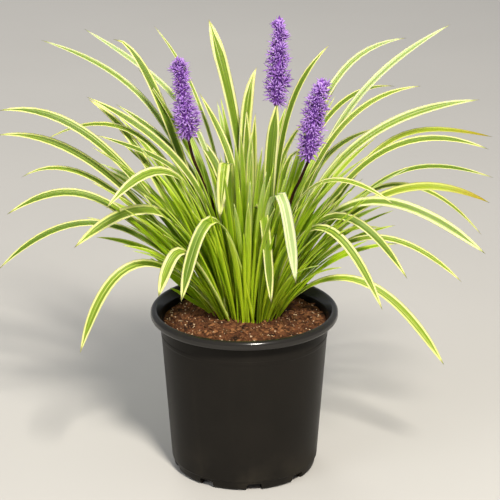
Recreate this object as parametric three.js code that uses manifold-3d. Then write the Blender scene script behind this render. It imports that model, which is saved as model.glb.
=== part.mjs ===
// A variegated liriope in a black nursery pot, in millimetres, +Z up.
// The origin is the centre of the pot's base, on the surface that the pot stands on; +Y points to the back.
// Bearings are in degrees round +Z: 0 is right, 90 back, 180 left and 270 front.
import * as THREE from "three";
import { mergeVertices } from "three/addons/utils/BufferGeometryUtils.js";
import Module from "manifold-3d";

const GAP = 0.3; // clearance between touching pieces
const BORE_DEPTH = 40; // the soil's plain holes are cut from their bottom up past its surface
const BORE_SIDES = 10;

// ---- The pot ----
const POT_HEIGHT = 155;
const RIM_RADIUS = 86;
const BEAD_HEIGHT = 8; // the rolled rim's outer bead
const WALL = 1.6;
const TOP_RADIUS = 77.4; // the wall's outside just under the bead
const FOOT_RADIUS = 67.9; // the wall's outside just above the rounded base corner
const CORNER = 12; // height of that corner
const BAND_HEIGHT = 9; // the stepped-in band round the base
const BAND_STEP = 0.8;
const FLOOR_Z = 3; // the recessed underside, between a middle pad and the foot ring
const PAD_RADIUS = 18;
const FLOOR_TOP = 5.5;
const SIDES = 36; // flats round the pot and the soil
const DRAINS = 9;
const FIRST_DRAIN = 38; // its bearing
const DRAIN = { width: 14, height: 7.2, inner: 56, outer: 71, under: 2 };

// ---- The soil ----
const SOIL_EDGE = 141.5; // the surface at the pot's wall
const SOIL_MOUND = 6.5; // how much higher the middle is
const SOIL_RINGS = [62, 48, 32, 16]; // radii at which the surface is raised into lumps
const LUMP = 0.55; // half the height of a lump

// ---- The clump ----
const CLUMP = new THREE.Vector3(3, 6, 0); // where the crowns' bearings meet
const WEDGE = 45; // degrees of the clump that one crown fills
const CROWN = { inner: 13, outer: 35, low: 136, high: 151, margin: 2.4, bevel: 1.8 };
const LEAF_BASE = 146; // leaves start inside the crowns
const FOOT_ROOM = 5; // leaf roots keep this far inside the edges of their crown's wedge
const BLADE = {
  steps: 7,
  plainSteps: 6,
  keel: 0.95, // thickness of the middle below the upper face
  fold: 8, // degrees that the two halves are folded up
  point: 2.4, // how blunt the tip is
};

const radians = THREE.MathUtils.degToRad;
const heading = (bearing) => new THREE.Vector3(Math.cos(radians(bearing)), Math.sin(radians(bearing)), 0);

// ---- Solids ----
const wasm = await Module();
wasm.setup();

function solid(geometry) {
  const bare = geometry.index ? geometry.toNonIndexed() : geometry.clone();
  bare.deleteAttribute("normal");
  bare.deleteAttribute("uv");
  const merged = mergeVertices(bare, 1e-4);
  return new wasm.Manifold(
    new wasm.Mesh({
      numProp: 3,
      vertProperties: new Float32Array(merged.attributes.position.array),
      triVerts: new Uint32Array(merged.index.array),
    }),
  );
}

function geometryOf(body) {
  const mesh = body.getMesh();
  return new THREE.BufferGeometry()
    .setAttribute("position", new THREE.BufferAttribute(mesh.vertProperties, 3))
    .setIndex(new THREE.BufferAttribute(mesh.triVerts, 1));
}

// Joins solids into one and drops any loose scrap.
function fuse(pieces) {
  const whole = pieces.reduce((sum, piece) => sum.add(piece));
  return whole.decompose().sort((a, b) => b.volume() - a.volume())[0];
}

// A skin over rings of equal count, closed by a flat fan at the start and a point at the end.
// across says which of its two diagonals splits a four-sided patch.
function skin(rings, tip, across = (i, j) => j === 0) {
  const count = rings[0].length;
  const corners = [];
  const face = (...points) => points.forEach((p) => corners.push(p.x, p.y, p.z));
  for (let i = 0; i + 1 < rings.length; i++)
    for (let j = 0; j < count; j++) {
      const k = (j + 1) % count;
      const [a, b, c, d] = [rings[i][j], rings[i][k], rings[i + 1][k], rings[i + 1][j]];
      if (across(i, j)) {
        face(a, b, c);
        face(a, c, d);
      } else {
        face(a, b, d);
        face(b, c, d);
      }
    }
  const last = rings[rings.length - 1];
  for (let j = 0; j < count; j++) face(last[j], last[(j + 1) % count], tip);
  for (let j = 1; j + 1 < count; j++) face(rings[0][0], rings[0][j + 1], rings[0][j]);
  return new THREE.BufferGeometry().setAttribute("position", new THREE.Float32BufferAttribute(corners, 3));
}

// Seeded numbers from 0 to 1, the same on every run.
function seeded(seed) {
  return () => {
    seed = (seed + 0x6d2b79f5) | 0;
    let mix = Math.imul(seed ^ (seed >>> 15), 1 | seed);
    mix = (mix + Math.imul(mix ^ (mix >>> 7), 61 | mix)) ^ mix;
    return ((mix ^ (mix >>> 14)) >>> 0) / 4294967296;
  };
}

// ---- Materials ----
const finish = (color, roughness) => new THREE.MeshStandardMaterial({ color, roughness, metalness: 0 });
const PLASTIC = finish(0x26272a, 0.42);
const SOIL = finish(0x5c3a24, 0.95);
const LEAF = finish(0x86ab3c, 0.5);
const STEM = finish(0x3f1d22, 0.5);
const FLORET = finish(0x7a55b8, 0.6);

const group = new THREE.Group();
function part(name, body, material) {
  const mesh = new THREE.Mesh(geometryOf(body), material);
  mesh.name = name;
  group.add(mesh);
}

// A profile of radius and height pairs turned round +Z.
function turned(profile) {
  const points = profile.map(([radius, z]) => new THREE.Vector2(radius, z));
  return new THREE.LatheGeometry(points, SIDES).rotateX(Math.PI / 2);
}

// ---- Pot ----
const WALL_SLOPE = (TOP_RADIUS - FOOT_RADIUS) / (POT_HEIGHT - BEAD_HEIGHT - CORNER);
const wallRadius = (z) => FOOT_RADIUS + WALL_SLOPE * (z - CORNER);

function pot() {
  const bead = POT_HEIGHT - BEAD_HEIGHT;
  const profile = [
    [0, 0],
    [PAD_RADIUS, 0],
    [PAD_RADIUS + 2, FLOOR_Z],
    [FOOT_RADIUS - 11, FLOOR_Z],
    [FOOT_RADIUS - 9, 0],
    [FOOT_RADIUS - 4.5, 0],
    [FOOT_RADIUS - 2.2, 2.5],
    [FOOT_RADIUS - BAND_STEP - 0.2, BAND_HEIGHT],
    [FOOT_RADIUS - 0.2, BAND_HEIGHT + 0.8],
    [wallRadius(CORNER), CORNER],
    [TOP_RADIUS, bead],
    [RIM_RADIUS - 1, bead],
    [RIM_RADIUS, bead + 1.5],
    [RIM_RADIUS, POT_HEIGHT - 2.4],
    [RIM_RADIUS - 2.2, POT_HEIGHT],
    [RIM_RADIUS - 5, POT_HEIGHT],
    [TOP_RADIUS - WALL, bead],
    [wallRadius(CORNER) - WALL, CORNER],
    [FOOT_RADIUS - 6, FLOOR_TOP],
    [0, FLOOR_TOP],
  ];
  let body = solid(turned(profile));
  for (let i = 0; i < DRAINS; i++) {
    const notch = new THREE.BoxGeometry(DRAIN.outer - DRAIN.inner, DRAIN.width, DRAIN.height + DRAIN.under)
      .translate((DRAIN.inner + DRAIN.outer) / 2, 0, (DRAIN.height - DRAIN.under) / 2)
      .rotateZ(radians(FIRST_DRAIN + (360 / DRAINS) * i));
    body = body.subtract(solid(notch));
  }
  return fuse([body]);
}

// ---- Soil ----
const soilHeight = (x, y) => {
  const edge = Math.min(1, Math.hypot(x, y) / (TOP_RADIUS - WALL));
  const lumps = Math.sin(x / 5.1 + 1.3 * Math.sin(y / 7.3)) + Math.sin(y / 4.3 + 1.1 * Math.sin(x / 6.1));
  return SOIL_EDGE + SOIL_MOUND * (1 - edge * edge) + LUMP * lumps * (1 - edge ** 6);
};

// A crown seen from above: its outer arc one way, then its inner arc back.
// A smaller margin widens it all round.
function crownOutline(margin) {
  const outline = [];
  function arc(radius, steps, way) {
    const reach = WEDGE / 2 - THREE.MathUtils.radToDeg(Math.asin(margin / radius));
    const ring = radius + way * (CROWN.margin - margin);
    for (let i = 0; i <= steps; i++) {
      const turn = radians(way * reach * ((2 * i) / steps - 1));
      outline.push(new THREE.Vector2(ring * Math.cos(turn), ring * Math.sin(turn)));
    }
  }
  arc(CROWN.outer, 6, 1);
  arc(CROWN.inner, 2, -1);
  return new THREE.Shape(outline);
}

function onClump(geometry, bearing) {
  return geometry.rotateZ(radians(bearing)).translate(CLUMP.x, CLUMP.y, 0);
}

function soil() {
  const low = [FOOT_RADIUS - 6 - GAP, FLOOR_TOP + GAP];
  const corner = [wallRadius(CORNER) - WALL - GAP, CORNER];
  const top = [wallRadius(SOIL_EDGE) - WALL - 2 * GAP, SOIL_EDGE];
  const profile = [[0, low[1]], low, corner, top];
  for (const radius of SOIL_RINGS) profile.push([radius, SOIL_EDGE + 1]);
  profile.push([0, SOIL_EDGE + 1]);
  const heap = turned(profile);
  const spots = heap.attributes.position;
  for (let i = 0; i < spots.count; i++)
    if (spots.getZ(i) > SOIL_EDGE + 0.5) spots.setZ(i, soilHeight(spots.getX(i), spots.getY(i)));
  let body = solid(heap);
  for (const { bearing } of TUFTS) {
    const outline = crownOutline(CROWN.margin - GAP);
    const hole = new THREE.ExtrudeGeometry(outline, { depth: BORE_DEPTH, bevelEnabled: false });
    body = body.subtract(solid(onClump(hole.translate(0, 0, CROWN.low - GAP), bearing)));
  }
  for (const { stem } of SPIKES) {
    const bore = STEM_RADIUS + 1.5 * GAP;
    const hole = new THREE.CylinderGeometry(bore, bore, BORE_DEPTH, BORE_SIDES)
      .rotateX(Math.PI / 2)
      .translate(stem[0].x, stem[0].y, STEM_FOOT - GAP + BORE_DEPTH / 2);
    body = body.subtract(solid(hole));
  }
  return fuse([body]);
}

// ---- Leaves ----
// A leaf rises from its root towards its elbow and arches over to its tip. Elbow and tip are given as
// the distance out along the leaf's bearing and the height. from is the bearing at which its root stands,
// turn how far its tip's face is rolled towards the front, first the share of that turn at its root, and
// bend how tightly it goes round its elbow. foot is its width at the root against the widest, and spread
// and taper are the shares of its length where it gets widest and where it starts to narrow.
function leaf(bearing, root, [elbowOut, elbowUp], [tipOut, tipUp], width, form = {}) {
  const plain = { from: bearing, turn: 0, first: 0.45, bend: 2 / 3, foot: 0.32, spread: 0.7, taper: 0.72 };
  return { bearing, root, elbowOut, elbowUp, tipOut, tipUp, width, ...plain, ...form };
}

const wedgeTurn = (bearing, tuftBearing) => ((bearing - tuftBearing + 540) % 360) - 180;

function rootOf({ from, root }, tuftBearing) {
  const room = Math.max(0, root * Math.tan(radians(WEDGE / 2)) - FOOT_ROOM);
  const aside = (wedgeTurn(from, tuftBearing) / (WEDGE / 2)) * room;
  return CLUMP.clone()
    .addScaledVector(heading(tuftBearing), root)
    .addScaledVector(heading(tuftBearing + 90), aside)
    .setZ(LEAF_BASE);
}

function spineOf(spec, tuftBearing) {
  const start = rootOf(spec, tuftBearing);
  const ahead = heading(spec.bearing);
  const elbow = start.clone().addScaledVector(ahead, spec.elbowOut).setZ(spec.elbowUp);
  const tip = start.clone().addScaledVector(ahead, spec.tipOut).setZ(spec.tipUp);
  const first = start.clone().lerp(elbow, spec.bend);
  const second = tip.clone().lerp(elbow, spec.bend);
  return new THREE.CubicBezierCurve3(start, first, second, tip);
}

// Half of the blade's width at a share of its length: narrow at the foot, widest past the middle,
// then tapering.
function halfWidth(spec, share) {
  const spread = spec.foot + (1 - spec.foot) * Math.sin((Math.PI / 2) * Math.min(1, share / spec.spread));
  const point = Math.max(0, (share - spec.taper) / (1 - spec.taper));
  return (spec.width / 2) * spread * (1 - point ** BLADE.point);
}

function blade(spec, tuftBearing, steps) {
  const spine = spineOf(spec, tuftBearing);
  const across = heading(spec.bearing + 90);
  const rings = [];
  for (let i = 0; i < steps; i++) {
    const share = i / steps;
    const middle = spine.getPointAt(share);
    const along = spine.getTangentAt(share);
    const turnSoFar = THREE.MathUtils.lerp(spec.first, 1, share);
    const roll = radians(spec.turn * Math.cos(radians(spec.bearing)) * turnSoFar);
    const side = across.clone().applyAxisAngle(along, roll);
    const face = along.clone().cross(side);
    const half = halfWidth(spec, share);
    const edge = (sign) =>
      middle
        .clone()
        .addScaledVector(side, sign * half * Math.cos(radians(BLADE.fold)))
        .addScaledVector(face, half * Math.sin(radians(BLADE.fold)));
    rings.push([edge(1), edge(-1), middle.clone().addScaledVector(face, -BLADE.keel)]);
  }
  return skin(rings, spine.getPointAt(1));
}

// The leaves that make the clump's outline, then how many plainer ones fill each tuft and how they stand:
// lean is how far they tilt at the foot and fall how far they have bent over at the tip, in degrees.
const TUFTS = [
  {
    name: "east",
    bearing: 0,
    fill: { seed: 101, count: 10, long: 205, short: 150, lean: 32, fall: 90 },
    leaves: [
      leaf(16, 21, [2, 350], [54, 396], 6.5, { turn: 50, bend: 0.8, taper: 0.76 }),
      leaf(21, 28, [22, 350], [140, 347], 6.8, { turn: 40 }),
      leaf(12, 28, [20, 335], [187, 338], 9.5, { turn: 55 }),
      leaf(18, 28, [92, 329], [210, 294], 6.5, { turn: 40, bend: 0.9 }),
      leaf(6, 28, [62, 355], [192, 297], 7.5, { turn: 45 }),
      leaf(2, 28, [88, 313], [194, 275], 6, { turn: 35, bend: 0.8 }),
      leaf(-3, 28, [78, 315], [190, 257], 9, { turn: 50, taper: 0.7 }),
      leaf(8, 28, [82, 345], [190, 212], 6, { turn: 40 }),
      leaf(-12, 28, [42, 333], [188, 220], 10, { turn: 60, taper: 0.78 }),
      leaf(-20, 26, [38, 323], [124, 198], 9, { turn: 45 }),
      leaf(-5, 28, [67, 280], [167, 183], 7, { turn: 45 }),
      leaf(-14, 28, [70, 245], [155, 112], 9.5, { turn: 55 }),
      leaf(8, 20, [7, 320], [30, 298], 8, { turn: 45 }),
      leaf(12, 17, [1.5, 290], [9.5, 346], 12, { turn: 80, bend: 0.8, taper: 0.9 }),
    ],
  },
  {
    name: "north_east",
    bearing: 45,
    fill: { seed: 102, count: 9, long: 230, short: 170, lean: 42, fall: 105 },
    leaves: [
      leaf(28, 28, [54, 345], [187, 393], 7.2, { turn: 50, bend: 0.8 }),
      leaf(40, 28, [53, 382], [168, 374], 7.2, { turn: 45, bend: 0.8 }),
      leaf(45, 28, [33, 360], [171, 323], 6, { turn: 40 }),
      leaf(36, 26, [50, 290], [124, 297], 6, { turn: 40, bend: 0.9 }),
      leaf(30, 22, [2, 288], [42, 323], 7, { turn: 20, bend: 0.8 }),
    ],
  },
  {
    name: "north",
    bearing: 90,
    fill: { seed: 103, count: 14, long: 215, short: 165, lean: 46, fall: 112 },
    leaves: [
      leaf(148, 20, [-1, 305], [42, 413], 12.5, { from: 84, turn: 68, first: -0.6, spread: 1, taper: 0.86 }),
      leaf(5, 22, [-13, 335], [6, 374], 11, { from: 78, turn: 80, first: 1, spread: 0.8, taper: 0.8 }),
      leaf(95, 17, [0, 290], [4, 335], 8),
      leaf(72, 19, [6, 300], [16, 328], 8),
    ],
  },
  {
    name: "north_west",
    bearing: 135,
    fill: { seed: 104, count: 9, long: 230, short: 170, lean: 40, fall: 105 },
    leaves: [
      leaf(150, 28, [46, 354], [197, 375], 6.4, { turn: 45, bend: 0.8 }),
      leaf(140, 28, [12, 335], [174, 382], 6.5, { turn: 45, bend: 0.9 }),
      leaf(124, 27, [-8, 330], [128, 386], 4, { turn: 30 }),
      leaf(154, 25, [72, 398], [113, 389], 9.5, { turn: 45 }),
      leaf(148, 26, [-15, 275], [120, 323], 7, { turn: 40 }),
      leaf(135, 20, [2, 277], [57, 308], 10, { turn: 20, bend: 0.9 }),
      leaf(130, 19, [-15, 282], [48, 342], 8, { turn: 20, bend: 0.9 }),
    ],
  },
  {
    name: "west",
    bearing: 180,
    fill: { seed: 105, count: 10, long: 210, short: 150, lean: 32, fall: 90 },
    leaves: [
      leaf(164, 26, [-20, 288], [125, 342], 8, { turn: 45 }),
      leaf(160, 27, [80, 312], [126, 337], 8, { turn: 45, bend: 0.9 }),
      leaf(178, 28, [92, 356], [195, 338], 9.5, { turn: 55 }),
      leaf(172, 28, [103, 325], [202, 308], 8.5, { turn: 50 }),
      leaf(168, 28, [111, 314], [184, 264], 6.5, { turn: 40 }),
      leaf(184, 28, [110, 300], [189, 247], 9, { turn: 50, bend: 0.8 }),
      leaf(188, 28, [96, 303], [198, 200], 7.5, { turn: 50 }),
      leaf(199, 27, [32, 313], [134, 228], 11.5, { turn: 50, taper: 0.75 }),
      leaf(162, 28, [38, 376], [167, 295], 6, { turn: 35 }),
      leaf(166, 26, [10, 284], [116, 308], 6, { turn: 35, bend: 0.9 }),
    ],
  },
  {
    name: "south_west",
    bearing: 225,
    fill: { seed: 906, count: 12, long: 180, short: 120, lean: 29, fall: 80 },
    leaves: [
      leaf(207, 28, [95, 286], [140, 140], 10, { turn: 55, taper: 0.72 }),
      leaf(215, 26, [28, 364], [124, 278], 12, { turn: 40, taper: 0.7 }),
      leaf(249, 23, [9, 354], [30, 254], 11, { from: 243, turn: 20, bend: 0.85, taper: 0.8 }),
      leaf(228, 28, [64, 259], [91, 198], 11.5, { from: 240, turn: 40, bend: 0.9, taper: 0.8 }),
    ],
  },
  {
    name: "south",
    bearing: 270,
    fill: { seed: 107, count: 13, long: 190, short: 130, lean: 12, fall: 42 },
    leaves: [
      leaf(228, 28, [52, 335], [94, 196], 11, { from: 288, turn: 45, bend: 0.72, taper: 0.8 }),
      leaf(303, 20, [50, 332], [77, 208], 10.5, { from: 272, turn: 30, bend: 0.9, taper: 0.8 }),
      leaf(298, 26, [20, 338], [42, 180], 9, { from: 275, turn: 20, bend: 0.8, taper: 0.8 }),
      leaf(288, 16, [2, 285], [7, 328], 9, { taper: 0.7 }),
      leaf(250, 17, [3, 280], [8, 305], 8),
    ],
  },
  {
    name: "south_east",
    bearing: 315,
    fill: { seed: 208, count: 12, long: 165, short: 125, lean: 27, fall: 74 },
    leaves: [
      leaf(325, 26, [41, 328], [120, 183], 9, { turn: 45, taper: 0.72 }),
      leaf(334, 26, [8, 336], [117, 275], 7, { turn: 30 }),
    ],
  },
];

// ---- Flower stems and spikes ----
const STEM_RADIUS = 1.5;
const STEM_FOOT = 138;
const STEM_STEPS = 12;
const STEM_SIDES = 6;
const STEM_END = 0.2; // the stem's top is a low point
const SPIKE = {
  seed: 201,
  rows: 22,
  round: 7, // florets in a row
  valley: 0.55, // the skin between florets, against their reach
  lift: 2.4, // how much higher a floret's point is than its foot
  ragged: 0.14, // how much florets differ in reach
  foot: 0.6, // the narrowing at the very foot
  room: 12.5, // the room that leaves keep from the axis
  stemRoom: 1, // and from the side of the stem
};
const at = (x, y, z) => new THREE.Vector3(x, y, z);
// middle and tip are where a spike's axis bows to and ends. reach is how far its florets stand out,
// at equal steps from its foot to its tip.
const SPIKES = [
  {
    name: "left",
    stem: [
      at(-20, 15.5, STEM_FOOT),
      at(-20, 15.5, 156),
      at(-22, 17, 225),
      at(-38, 18, 271),
      at(-46, 20, 291),
      at(-50, 21.5, 307),
    ],
    middle: at(-54, 23, 345),
    tip: at(-59, 24, 385),
    reach: [6, 12.2, 12.8, 11, 8, 8, 10.4, 6.4, 4],
  },
  {
    name: "middle",
    stem: [
      at(24.5, 15, STEM_FOOT),
      at(24.5, 15, 156),
      at(26, 15, 210),
      at(27.5, 14.5, 275),
      at(28.5, 14, 341),
    ],
    middle: at(31, 14, 385),
    tip: at(31, 14, 425),
    reach: [7, 11.5, 12, 12, 10.6, 8.9, 7.4, 5.6, 3.8],
  },
  {
    name: "right",
    stem: [
      at(27, -4, STEM_FOOT),
      at(27, -4, 156),
      at(33, -6, 215),
      at(42, -8, 261),
      at(50, -10, 281),
      at(56.5, -12, 298),
    ],
    middle: at(61, -13, 336),
    tip: at(69, -15, 375),
    reach: [5.5, 10.5, 12, 12.4, 11.4, 10, 8.8, 7.8, 6.8],
  },
];

// A closed ring round a curve at a share of its length. spot(i) gives each point's distance out and along.
function ringRound(curve, share, count, spot) {
  const centre = curve.getPointAt(share);
  const along = curve.getTangentAt(share);
  const side = new THREE.Vector3(0, 1, 0).cross(along).normalize();
  const other = along.clone().cross(side);
  return Array.from({ length: count }, (_, i) => {
    const turn = (2 * Math.PI * i) / count;
    const [out, lift] = spot(i);
    return centre
      .clone()
      .addScaledVector(side, out * Math.cos(turn))
      .addScaledVector(other, out * Math.sin(turn))
      .addScaledVector(along, lift);
  });
}

function stem({ stem: route }) {
  const curve = new THREE.CatmullRomCurve3(route, false, "centripetal");
  const rings = [];
  const plain = () => [STEM_RADIUS, 0];
  for (let i = 0; i <= STEM_STEPS; i++) rings.push(ringRound(curve, i / STEM_STEPS, STEM_SIDES, plain));
  return solid(skin(rings, curve.getPointAt(1).addScaledVector(curve.getTangentAt(1), STEM_END)));
}

// How far the florets reach out of a spike's axis at a share of its height.
function reachAt(reach, share) {
  const place = share * (reach.length - 1);
  const i = Math.min(reach.length - 2, Math.floor(place));
  return THREE.MathUtils.lerp(reach[i], reach[i + 1], place - i);
}

// A spike is one dense skin of florets: pointed studs in staggered rows, each raised out of the valley
// round it.
function spike({ stem: route, middle, tip, reach }) {
  const draw = seeded(SPIKE.seed);
  const top = route[route.length - 1];
  const rise = top.clone().sub(route[route.length - 2]).normalize();
  const foot = top.clone().addScaledVector(rise, STEM_END + GAP);
  const axis = new THREE.QuadraticBezierCurve3(foot, middle, tip);
  const isStud = (row, i) => (row + i) % 2 === 1;
  const rings = [];
  for (let row = 0; row < SPIKE.rows; row++) {
    const share = row / SPIKE.rows;
    const out = reachAt(reach, share) * (row === 0 ? SPIKE.foot : 1);
    const spot = (i) => {
      if (row === 0 || !isStud(row, i)) return [out * SPIKE.valley, 0];
      return [out * (1 + SPIKE.ragged * (2 * draw() - 1)), SPIKE.lift];
    };
    rings.push(ringRound(axis, share, 2 * SPIKE.round, spot));
  }
  return solid(skin(rings, tip, isStud));
}

// ---- Filling leaves ----
// They lean and arch by rank, from upright ones in the middle of the clump to spreading ones at its
// outside, and a leaf that would run into a flower stem or spike is left out.
function clearOfSpikes(spec, tuftBearing) {
  const spine = spineOf(spec, tuftBearing);
  for (let i = 1; i <= FILL.spots; i++) {
    const spot = spine.getPointAt(i / FILL.spots);
    const half = halfWidth(spec, i / FILL.spots);
    for (const { stem: route, tip } of SPIKES) {
      const marks = [...route, route[route.length - 1].clone().lerp(tip, 0.5), tip];
      for (let k = 0; k + 1 < marks.length; k++) {
        const line = new THREE.Line3(marks[k], marks[k + 1]);
        const near = line.closestPointToPoint(spot, true, new THREE.Vector3());
        const room = k + 1 < route.length ? STEM_RADIUS + SPIKE.stemRoom : SPIKE.room;
        if (near.distanceTo(spot) < room + half) return false;
      }
    }
  }
  return true;
}
const FILL = {
  swing: 0.47, // share of the wedge that they spread over to each side
  lean: 4, // degrees that the innermost stand out of plumb
  firstFall: 0.35, // share of the tuft's fall that the innermost have
  rise: 0.56, // the elbow's height along the lean, against the length
  run: 0.5, // the tip's reach past the elbow, against the length
  root: 17, // how far out the innermost stand, and how much further the outermost
  rootRange: 13,
  unlike: 0.14, // how much their lengths differ
  leanUnlike: 4, // degrees that their leans and falls differ
  fallUnlike: 10,
  width: [4.8, 7.4],
  turn: [5, 45],
  taper: 0.6,
  spots: 20, // where along a leaf its room is measured
};
function filling({ bearing, fill }) {
  const { lerp } = THREE.MathUtils;
  const draw = seeded(fill.seed);
  const around = (middle, unlike) => middle + unlike * (2 * draw() - 1);
  const specs = [];
  for (let i = 0; i < fill.count; i++) {
    const rank = (i + draw()) / fill.count;
    const towards = around(bearing, WEDGE * FILL.swing);
    const length = lerp(fill.long, fill.short, rank) * around(1, FILL.unlike);
    const lean = radians(around(lerp(FILL.lean, fill.lean, rank), FILL.leanUnlike));
    const fall = radians(around(lerp(FILL.firstFall, 1, rank) * fill.fall, FILL.fallUnlike));
    const width = lerp(...FILL.width, draw());
    const turn = lerp(...FILL.turn, draw());
    const rise = FILL.rise * length;
    const run = FILL.run * length;
    const elbow = [rise * Math.sin(lean), LEAF_BASE + rise * Math.cos(lean)];
    const tip = [elbow[0] + run * Math.sin(fall), elbow[1] + run * Math.cos(fall)];
    const root = FILL.root + FILL.rootRange * rank;
    const spec = leaf(towards, root, elbow, tip, width, { turn, taper: FILL.taper });
    if (clearOfSpikes(spec, bearing)) specs.push(spec);
  }
  return specs;
}

function crown(bearing) {
  const block = new THREE.ExtrudeGeometry(crownOutline(CROWN.margin), {
    depth: CROWN.high - CROWN.low - CROWN.bevel,
    bevelThickness: CROWN.bevel,
    bevelSize: CROWN.bevel,
    bevelOffset: -CROWN.bevel,
    bevelSegments: 1,
  });
  return solid(onClump(block.translate(0, 0, CROWN.low + CROWN.bevel), bearing));
}

function tuft(spec) {
  const shown = spec.leaves.map((one) => blade(one, spec.bearing, BLADE.steps));
  const plain = filling(spec).map((one) => blade(one, spec.bearing, BLADE.plainSteps));
  return fuse([crown(spec.bearing), ...[...shown, ...plain].map(solid)]);
}

part("pot", pot(), PLASTIC);
part("soil", soil(), SOIL);
for (const spec of TUFTS) part("tuft_" + spec.name, tuft(spec), LEAF);
for (const spec of SPIKES) {
  part("stem_" + spec.name, stem(spec), STEM);
  part("spike_" + spec.name, spike(spec), FLORET);
}

export default group;
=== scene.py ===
import math
import random

import bmesh
import bpy
import numpy as np
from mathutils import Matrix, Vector, noise


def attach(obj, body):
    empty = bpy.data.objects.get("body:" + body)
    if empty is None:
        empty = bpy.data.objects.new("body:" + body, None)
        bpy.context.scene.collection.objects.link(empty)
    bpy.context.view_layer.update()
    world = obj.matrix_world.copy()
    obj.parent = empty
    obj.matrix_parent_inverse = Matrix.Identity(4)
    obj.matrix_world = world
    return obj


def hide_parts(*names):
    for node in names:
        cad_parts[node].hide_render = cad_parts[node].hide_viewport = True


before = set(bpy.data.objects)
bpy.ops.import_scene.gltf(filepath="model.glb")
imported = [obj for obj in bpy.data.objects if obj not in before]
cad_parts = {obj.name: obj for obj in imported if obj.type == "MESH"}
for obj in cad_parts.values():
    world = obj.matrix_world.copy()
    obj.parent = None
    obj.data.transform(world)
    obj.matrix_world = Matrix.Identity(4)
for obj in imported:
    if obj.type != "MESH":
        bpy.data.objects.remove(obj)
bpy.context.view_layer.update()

# A variegated liriope in a black nursery pot. Sizes are in millimetres until a mesh is made.
# Bearings are in degrees round +Z: 0 is right, 90 back, 180 left and 270 front.
MM = 0.001

# ---- Camera ----
CAMERA_TARGET = Vector((5.2, 0, 210.4)) * MM
CAMERA_DISTANCE = 1.9  # in metres
CAMERA_ELEVATION = 20.2
CAMERA_LENS = 150.8
CAMERA_SENSOR = 36
CAMERA_CLIP = (0.05, 40)

# ---- Stage, in metres ----
FLOOR_HALF = 7
LIGHT_AIM = Vector((0, 0, 0.2))
SOFTBOXES = [  # name, place, size, power and colour
    ("key", (0.5, -1.65, 2.1), 0.45, 84, (1.0, 0.95, 0.87)),
    ("fill", (-1.9, -1.6, 1.5), 1.6, 16, (0.9, 0.95, 1.0)),
    ("back", (-0.6, 2.0, 1.9), 1.2, 14, (1.0, 0.98, 0.95)),
]
SKY_COLOUR = (0.93, 0.95, 1.0, 1)
SKY_STRENGTH = 0.38

# ---- Pot ----
POT_HEIGHT = 155
RIM_RADIUS = 86
BEAD_FOOT = 147
WALL = 1.6
TOP_RADIUS = 77.4
FOOT_RADIUS = 67.9
CORNER = 12  # the height where the straight wall begins
PAD_RADIUS = 18  # the flat pad in the middle of the base
RECESS = 3  # how deep the base is hollowed between its pad and its foot ring
STEP_HEIGHT = 9  # the low step round the foot
FLOOR_TOP = 5.5
FLOOR_INSET = 6
BAND = (129, 132)  # the faint moulded band below the bead
BAND_EDGE = 0.6
BAND_RISE = 0.3
POT_SIDES = 144
ARC_STEPS = 5
ARC_MOST = 0.49  # the share of a side that a rounding may take
SHARP_ANGLE = 38
DRAINS = 9
FIRST_DRAIN = 38
DRAIN_WIDTH = 14
DRAIN_HEIGHT = 7.2
DRAIN_INNER = 56
DRAIN_OUTER = 71
DRAIN_UNDER = 2
DRAIN_ROUNDING = 1.2
GAP = 0.3  # between the soil and the pot

# ---- Soil ----
SOIL_EDGE = 141.5
SOIL_MOUND = 6.5
LUMP = 0.55
SOIL_RINGS = 68
SOIL_SECTORS = 330
COARSE_CRUMB = (9, 1.3)  # how long the bumps are and how high they stand
FINE_CRUMB = (1.7, 0.5)
CRUMB_NOISE = (0.9, 2.1, 4)  # how fast finer bumps fade, how much finer each set is and how many sets
LONG_WAVE = (5.1, 1.3, 7.3)  # two crossing waves that make the soil uneven
SHORT_WAVE = (4.3, 1.1, 6.1)
SOIL_SEED = 5
SCATTER_RADIUS = 73
SCATTER_RISE = 0.25  # how far a lump's middle stands above the soil, as a share of its size
LUMP_OUT = 0.894  # where the middle corners of an icosahedron lie, from its axis and from its middle
LUMP_UP = 0.447
LUMP_LONG = (0.7, 1.0)
LUMP_BROAD = (0.45, 0.9)
LUMP_HIGH = (0.7, 1.2)
LUMP_UNLIKE = (0.75, 1.2)
LUMP_TILTS = (((1, 0, 0), 0.5), ((0, 1, 0), 0.5), ((0, 0, 1), math.pi))  # axes and the most, in radians
SCATTER = [  # how many, their sizes, how flat, the range of their shade and how pale
    (1500, (0.8, 1.9), 0.7, (0.03, 0.6), 0.0),
    (420, (1.6, 3.4), 0.45, (0.2, 1.0), 0.0),
    (90, (3, 5.5), 0.28, (0.1, 0.9), 0.0),
    (330, (0.6, 1.5), 0.7, (0.5, 1.0), 0.9),
]

# ---- Clump ----
CLUMP = np.array([3.0, 6.0, 0.0])  # where the crowns' bearings meet
WEDGE = 45  # the part of a turn that a tuft's crown takes up
LEAF_BASE = 146
FOOT_ROOM = 5
BLADE_POINT = 2.4
SPINE_POINTS = 201
SPINE_REACH = 0.002
CLEAR_STEPS = 20
STEM_RADIUS = 1.5
STEM_ROOM = STEM_RADIUS + 1
SPIKE_ROOM = 12.5

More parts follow.
